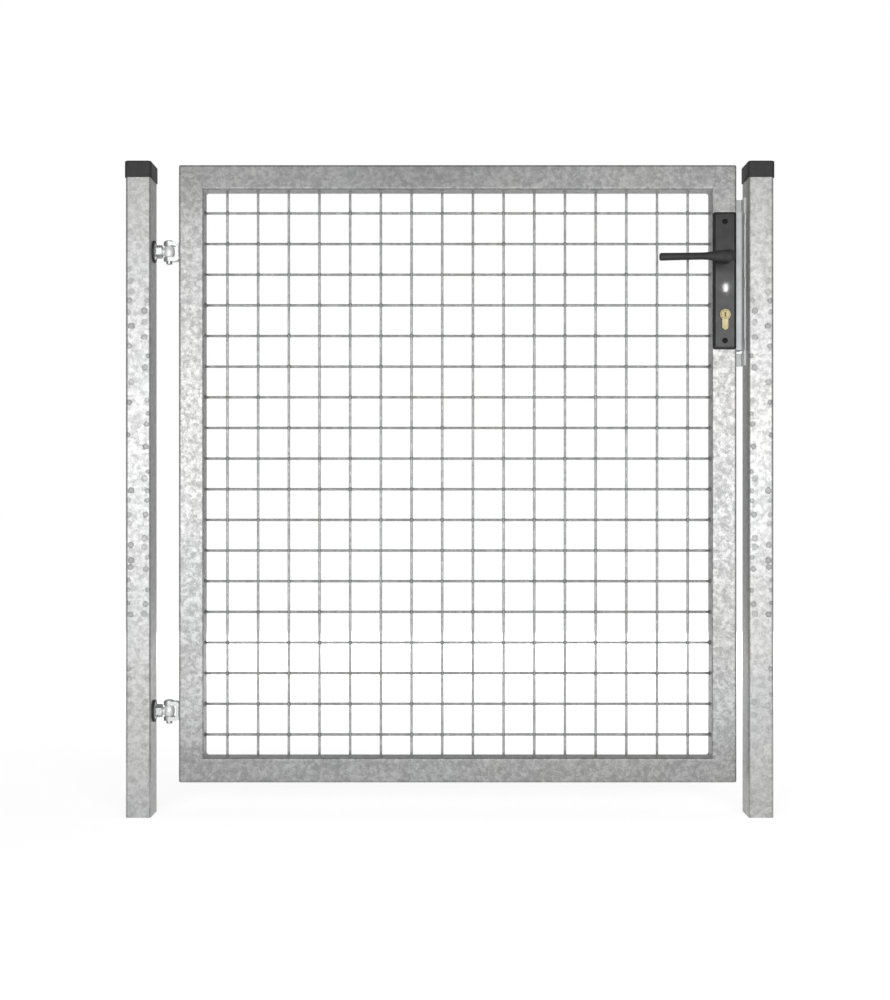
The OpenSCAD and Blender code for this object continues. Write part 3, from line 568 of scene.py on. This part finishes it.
# Points and slightly uneven radii along one dipped wire
def dippedWire(chance, start, end):
    count = max(2, int((end - start).length / wireMesh["step"]))
    points = [start.lerp(end, k / count) for k in range(count + 1)]
    radii = [wireMesh["wire"] / 2 * (1 + wireMesh["lumps"] * chance.uniform(-1, 1)) for _ in points]
    return points, radii


def weldedWires():
    chance = random.Random(wireMesh["seed"])
    shape = newShape()
    for x in uprightX:
        points, radii = dippedWire(chance, Vector((x, -layer, meshLow.z)), Vector((x, -layer, meshHigh.z)))
        addRod(shape, points, radii, wireMesh["sides"])
    finishFaces(shape, 0)
    for z in levelZ:
        points, radii = dippedWire(chance, Vector((meshLow.x, layer, z)), Vector((meshHigh.x, layer, z)))
        addRod(shape, points, radii, wireMesh["sides"])
    finishFaces(shape, 1)
    piece = makePiece("weldedWires", shape, (galvanisedWire, dullWireAndShade), "leaf")
    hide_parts("wire_mesh")


weldedWires()

# Weld nuggets where wires cross, and beads where wires end on the frame; their darker zinc is partly
# painted shade
wireWelds = {
    "nugget": (0.0028, 0.0046, 0.0047), "nuggetUneven": 0.1,
    "levelEnd": (0.0030, 0.0085, 0.0036), "uprightEnd": (0.0030, 0.0030, 0.0022), "endUneven": 0.25,
    "rings": 8, "levelSides": 14, "uprightSides": 12, "seed": 11,
}


def crossingNuggets():
    chance = random.Random(wireWelds["seed"])
    shape = newShape()
    for x in uprightX:
        for z in levelZ:
            size = 1 + wireWelds["nuggetUneven"] * chance.uniform(-1, 1)
            addBead(shape, Vector((x, 0, z)), [h * size for h in wireWelds["nugget"]])
    makePiece("crossingNuggets", shape, (weldWithPaintedShade,), "leaf")


def wireEndWelds():
    chance = random.Random(wireWelds["seed"] + 1)
    shape = newShape()
    for z in levelZ:
        for x in (meshLow.x, meshHigh.x):
            size = 1 + wireWelds["endUneven"] * chance.uniform(-1, 1)
            addBead(shape, Vector((x, layer, z)), [h * size for h in wireWelds["levelEnd"]],
                    wireWelds["rings"], wireWelds["levelSides"])
    finishFaces(shape, 0)
    for x in uprightX:
        for z in (meshLow.z, meshHigh.z):
            size = 1 + wireWelds["endUneven"] * chance.uniform(-1, 1)
            addBead(shape, Vector((x, -layer, z)), [h * size for h in wireWelds["uprightEnd"]],
                    wireWelds["rings"], wireWelds["uprightSides"])
    finishFaces(shape, 1)
    makePiece("wireEndWelds", shape, (burntWeldAndShade, weldWithPaintedShade), "leaf")


crossingNuggets()
wireEndWelds()

# Weld fillets in the four inner corners of the frame, running from front to back
cornerWeld = {
    "leg": 0.0055, "half": 0.0185, "root": 0.0006, "steps": 36, "arcSteps": 6,
    "ripple": 0.07, "ripplePitch": 0.003, "endPower": 8, "endLeast": 0.02,
}


def cornerWelds():
    shape = newShape()
    leg, half, steps = cornerWeld["leg"], cornerWeld["half"], cornerWeld["steps"]
    arc = cornerWeld["arcSteps"]
    for x, sideX in ((meshLow.x, 1), (meshHigh.x, -1)):
        for z, sideZ in ((meshLow.z, 1), (meshHigh.z, -1)):
            start = len(shape["verts"])
            width = arc + 2
            for k in range(steps + 1):
                y = half * (2 * k / steps - 1)
                ending = math.sqrt(max(1 - (y / half) ** cornerWeld["endPower"], cornerWeld["endLeast"]))
                ripple = 1 + cornerWeld["ripple"] * math.sin(2 * math.pi * y / cornerWeld["ripplePitch"])
                r = leg * ending * ripple
                ring = [(-cornerWeld["root"], -cornerWeld["root"])]
                for i in range(arc + 1):
                    turn = math.pi / 2 * i / arc
                    ring.append((r * (1 - math.sin(turn)), r * (1 - math.cos(turn))))
                for dx, dz in ring:
                    shape["verts"].append(Vector((x + sideX * dx, y, z + sideZ * dz)))
            order = 1 if sideX * sideZ > 0 else -1
            for k in range(steps):
                for i in range(width):
                    a = start + k * width + i
                    b = start + k * width + (i + 1) % width
                    shape["faces"].append((a, b, b + width, a + width)[::order])
            ends = (tuple(start + i for i in reversed(range(width))),
                    tuple(start + steps * width + i for i in range(width)))
            for end in ends:
                shape["faces"].append(end[::order])
    makePiece("cornerWelds", shape, (galvanisedTube,), "leaf")


cornerWelds()

# Weld beads along the seams of the hinge brackets and the keep; the brackets' darker weld zinc is partly
# painted shade, and the keep's paler sheet is painted light
seamWeld = {
    "radius": 0.0022, "step": 0.0012, "ripple": 0.16, "rippleTurn": 2.1, "rippleShare": 0.7,
    "chanceShare": 0.3, "endPower": 6, "endLeast": 0.04, "sides": 10, "seed": 5,
}


def addSeam(shape, chance, start, end):
    count = max(4, int((end - start).length / seamWeld["step"]))
    points = [start.lerp(end, k / count) for k in range(count + 1)]
    radii = []
    for k in range(count + 1):
        ending = math.sqrt(max(1 - (2 * k / count - 1) ** seamWeld["endPower"], seamWeld["endLeast"]))
        wave = math.sin(k * seamWeld["rippleTurn"]) * seamWeld["rippleShare"]
        wave += chance.uniform(-seamWeld["chanceShare"], seamWeld["chanceShare"])
        radii.append(seamWeld["radius"] * ending * (1 + seamWeld["ripple"] * wave))
    addRod(shape, points, radii, seamWeld["sides"])


bracketWeld = {"fromEdge": 0.002, "fromCorner": 0.004}


def bracketWelds():
    chance = random.Random(seamWeld["seed"])
    shape = newShape()
    edge, corner = bracketWeld["fromEdge"], bracketWeld["fromCorner"]
    for name in ("upper_hinge_bracket", "lower_hinge_bracket"):
        low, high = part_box(name)
        for z in (low.z + edge, high.z - edge):
            addSeam(shape, chance, Vector((high.x, low.y, z)), Vector((high.x, high.y, z)))
        for y in (low.y, high.y):
            foot, head = low.z + corner, high.z - corner
            addSeam(shape, chance, Vector((high.x, y, foot)), Vector((high.x, y, head)))
    makePiece("bracketWelds", shape, (weldWithPaintedShade,), "leaf")


keepWeld = {"length": 0.020, "inset": 0.0006, "places": (0.971, 0.867, 0.766)}


def keepWelds():
    chance = random.Random(seamWeld["seed"] + 1)
    shape = newShape()
    low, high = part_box("latch_keep")
    half = Vector((0, 0, keepWeld["length"] / 2))
    for z in keepWeld["places"]:
        for y in (low.y, high.y):
            middle = Vector((high.x - keepWeld["inset"], y, z))
            addSeam(shape, chance, middle - half, middle + half)
    makePiece("keepWelds", shape, (sheetPaintedLight,), "posts")


bracketWelds()
keepWelds()

# Lock plate screws: pan heads with a cross slot, sunk in the plates' recesses; their near-black finish
# is partly painted shade of the recesses
plateScrew = {
    "head": 0.0046, "rise": 0.0006, "fromTop": 0.016, "fromBottom": 0.014,
    "recess": 0.003, "plate": 0.006, "slot": 0.0013, "slotDepth": 0.0009, "slotReach": 0.7,
    "dome": 1.35, "domeFall": 0.5, "sink": 0.0002, "sides": 32,
    "rings": (0.12, 0.22, 0.3, 0.42, 0.56, 0.7, 0.84, 0.95, 1.0, 1.0),
}


# Cross-slotted head: the dome's rings, pressed in where a point lies within the cross
def plateScrews():
    shape = newShape()
    rings, sides = plateScrew["rings"], plateScrew["sides"]
    for name, out in (("front_lock_plate", -1), ("rear_lock_plate", 1)):
        low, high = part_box(name)
        x = (low.x + high.x) / 2
        seat = (high.y if out < 0 else low.y) + out * (plateScrew["plate"] - plateScrew["recess"])
        for z in (high.z - plateScrew["fromTop"], low.z + plateScrew["fromBottom"]):
            centre = len(shape["verts"])
            deepest = plateScrew["rise"] * plateScrew["dome"] - plateScrew["slotDepth"]
            shape["verts"].append(Vector((x, seat + out * deepest, z)))
            start = centre + 1
            for k, share in enumerate(rings):
                r = plateScrew["head"] * share
                for i in range(sides):
                    turn = 2 * math.pi * i / sides
                    dx, dz = r * math.cos(turn), r * math.sin(turn)
                    rise = plateScrew["rise"] * (plateScrew["dome"] - plateScrew["domeFall"] * share ** 2)
                    if k == len(rings) - 1:
                        rise = -plateScrew["sink"]
                    elif share < plateScrew["slotReach"] and min(abs(dx), abs(dz)) < plateScrew["slot"] / 2:
                        rise -= plateScrew["slotDepth"]
                    shape["verts"].append(Vector((x + dx, seat + out * rise, z + dz)))
            for i in range(sides):
                j = (i + 1) % sides
                shape["faces"].append((centre, start + j, start + i)[::-out])
                for k in range(len(rings) - 1):
                    a = start + k * sides
                    shape["faces"].append((a + i, a + j, a + sides + j, a + sides + i)[::-out])
            last = start + (len(rings) - 1) * sides
            shape["faces"].append(tuple(range(last, last + sides))[::-out])
    makePiece("plateScrews", shape, (blackScrewAndRecessShade,), "leaf")


plateScrews()

# Dark ring round the plug of the lock cylinder, on both its faces: painted shade of the groove between
# plug and body
plugRing = {
    "inner": 0.0060, "outer": 0.0071, "rise": 0.0001, "sink": 0.0001, "fromTop": 0.0085, "sides": 48,
}


def plugRings():
    shape = newShape()
    low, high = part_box("profile_cylinder")
    x, z = (low.x + high.x) / 2, high.z - plugRing["fromTop"]
    sides = plugRing["sides"]
    middle = (plugRing["inner"] + plugRing["outer"]) / 2
    for face, out in ((low.y, -1), (high.y, 1)):
        start = len(shape["verts"])
        ring = ((plugRing["inner"], -plugRing["sink"]), (middle, plugRing["rise"]),
                (plugRing["outer"], -plugRing["sink"]))
        for i in range(sides):
            turn = 2 * math.pi * i / sides
            for r, rise in ring:
                shape["verts"].append(Vector((
                    x + r * math.cos(turn), face + out * rise, z + r * math.sin(turn))))
        width = len(ring)
        for i in range(sides):
            a, b = start + width * i, start + width * ((i + 1) % sides)
            for k in range(width):
                m = (k + 1) % width
                shape["faces"].append((a + k, a + m, b + m, b + k)[::-out])
    makePiece("plugRings", shape, (grooveShadeBrass,), "leaf")


plugRings()

# Camera straight in front of the gate, at the height of its middle
view = {"x": 0.495, "z": 0.5125, "distance": 2.607, "lens": 58.0, "sensor": 36.0, "clipEnd": 200.0}
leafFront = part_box("top_rail")[0].y
cameraData = bpy.data.cameras.new("camera")
cameraData.lens = view["lens"]
cameraData.sensor_width = view["sensor"]
cameraData.clip_end = view["clipEnd"]
camera = bpy.data.objects.new("camera", cameraData)
camera.location = (view["x"], leafFront - view["distance"], view["z"])
camera.rotation_euler = (math.pi / 2, 0, 0)
scene.collection.objects.link(camera)
scene.camera = camera

# Studio lamps: a wide low strip softbox in front with a weaker one above it, a small lamp high on the
# right, and a soft fill behind that casts no shadow and that metal doesn't mirror
lamps = {
    "frontStrip": {"at": (0.5, -3.3, 0.67), "size": (3.4, 0.6), "watts": 58, "fill": False},
    "upperStrip": {"at": (0.5, -3.3, 1.16), "size": (3.4, 0.36), "watts": 12, "fill": False},
    "smallLamp": {"at": (1.402, -2.627, 1.1975), "size": (0.012, 0.024), "watts": 0.12, "fill": False},
    "rearFill": {"at": (0.5, 3.6, 1.0), "size": (3.4, 1.4), "watts": 68, "fill": True},
}
lampTarget = Vector((0.5, 0, 0.6))
for name, lamp in lamps.items():
    data = bpy.data.lights.new(name, "AREA")
    data.shape = "RECTANGLE"
    data.size, data.size_y = lamp["size"]
    data.energy = lamp["watts"]
    light = bpy.data.objects.new(name, data)
    light.location = lamp["at"]
    light.rotation_euler = (lampTarget - light.location).to_track_quat("-Z", "Y").to_euler()
    scene.collection.objects.link(light)
    if lamp["fill"]:
        data.use_shadow = False
        light.visible_camera = False
        light.visible_glossy = False


# A flat rectangle of the stage, given by its four corners
def stagePlane(name, corners, material):
    mesh = bpy.data.meshes.new(name)
    mesh.from_pydata(corners, [], [(0, 1, 2, 3)])
    mesh.materials.append(material)
    plane = bpy.data.objects.new(name, mesh)
    scene.collection.objects.link(plane)
    return plane


# White backdrop for the camera and for reflections, soft grey light for the rest
studio = {
    "ambient": 0.22, "floorColour": "#f2f2f2", "floorHalf": 40.0,
    "liftNear": 0.6, "liftFar": 0.81, "near": 0.8, "far": 3.2,
}
world = bpy.data.worlds.new("studio")
scene.world = world
world.use_nodes = True
worldTree = world.node_tree
worldTree.nodes.clear()


# One where a ray comes from the camera, a mirror or glass
def seenDirectly(tree):
    path = addNode(tree, "ShaderNodeLightPath")
    first = addNode(tree, "ShaderNodeMath", {
        0: path.outputs["Is Camera Ray"], 1: path.outputs["Is Glossy Ray"]}, operation="MAXIMUM").outputs[0]
    return addNode(tree, "ShaderNodeMath", {
        0: first, 1: path.outputs["Is Transmission Ray"]}, operation="MAXIMUM").outputs[0]


ambient = addNode(worldTree, "ShaderNodeBackground", {
    "Color": linear("#ffffff"), "Strength": studio["ambient"]})
white = addNode(worldTree, "ShaderNodeBackground", {"Color": linear("#ffffff"), "Strength": 1.0})
both = addNode(worldTree, "ShaderNodeMixShader", {
    0: seenDirectly(worldTree), 1: ambient.outputs[0], 2: white.outputs[0]})
addNode(worldTree, "ShaderNodeOutputWorld", {0: both.outputs[0]})

# Pale matt floor that keeps the gate's shadow, lifted to white where it is seen far away
floorMaterial, floorTree = newMaterial("paleFloor")
floorDiffuse = addNode(floorTree, "ShaderNodeBsdfDiffuse", {"Color": linear(studio["floorColour"])})
floorPlace = addNode(floorTree, "ShaderNodeTexCoord").outputs["Object"]
floorReach = addNode(floorTree, "ShaderNodeVectorMath", {0: floorPlace}, operation="LENGTH")
whiteness = addNode(floorTree, "ShaderNodeMapRange", {
    0: floorReach.outputs["Value"], 1: studio["near"], 2: studio["far"],
    3: studio["liftNear"], 4: studio["liftFar"]})
lift = addNode(floorTree, "ShaderNodeMath", {
    0: seenDirectly(floorTree), 1: whiteness.outputs[0]}, operation="MULTIPLY").outputs[0]
floorGlow = addNode(floorTree, "ShaderNodeEmission", {"Color": linear("#ffffff"), "Strength": lift})
floorSum = addNode(floorTree, "ShaderNodeAddShader", {0: floorDiffuse.outputs[0], 1: floorGlow.outputs[0]})
addNode(floorTree, "ShaderNodeOutputMaterial", {0: floorSum.outputs[0]})
floorHalf = studio["floorHalf"]
stagePlane("floor", [
    (-floorHalf, -floorHalf, 0), (floorHalf, -floorHalf, 0),
    (floorHalf, floorHalf, 0), (-floorHalf, floorHalf, 0)], floorMaterial)

# Grey studio flags that only shiny metal shows: above, at both sides, high in front, and a smaller
# one behind the gate
flags = {
    "left": -2.2, "right": 3.2, "low": 1.5, "height": 3.4, "front": -3.5, "back": 3.2,
    "backLeft": -0.6, "backRight": 1.6, "backHeight": 2.4, "glow": 0.35, "backGlow": 0.45,
}
left, right, low, top = flags["left"], flags["right"], flags["low"], flags["height"]
front, back = flags["front"], flags["back"]
backLeft, backRight, backTop = flags["backLeft"], flags["backRight"], flags["backHeight"]
flagCorners = {
    "flagLeft": [(left, front, 0), (left, back, 0), (left, back, top), (left, front, top)],
    "flagRight": [(right, front, 0), (right, back, 0), (right, back, top), (right, front, top)],
    "flagAbove": [(left, front, top), (right, front, top), (right, back, top), (left, back, top)],
    "flagFront": [(left, front, low), (right, front, low), (right, front, top), (left, front, top)],
    "flagBehind": [
        (backLeft, back, 0), (backRight, back, 0), (backRight, back, backTop), (backLeft, back, backTop)],
}
for name, corners in flagCorners.items():
    level = flags["backGlow"] if name == "flagBehind" else flags["glow"]
    flagMaterial, flagTree = newMaterial(name)
    flagGlow = addNode(flagTree, "ShaderNodeEmission", {"Color": linear("#ffffff"), "Strength": level})
    addNode(flagTree, "ShaderNodeOutputMaterial", {0: flagGlow.outputs[0]})
    flag = stagePlane(name, corners, flagMaterial)
    flag.visible_camera = False
    flag.visible_diffuse = False
    flag.visible_shadow = False
scene.view_settings.view_transform = "Standard"
print("camera, lamps, backdrop, flags and floor set")
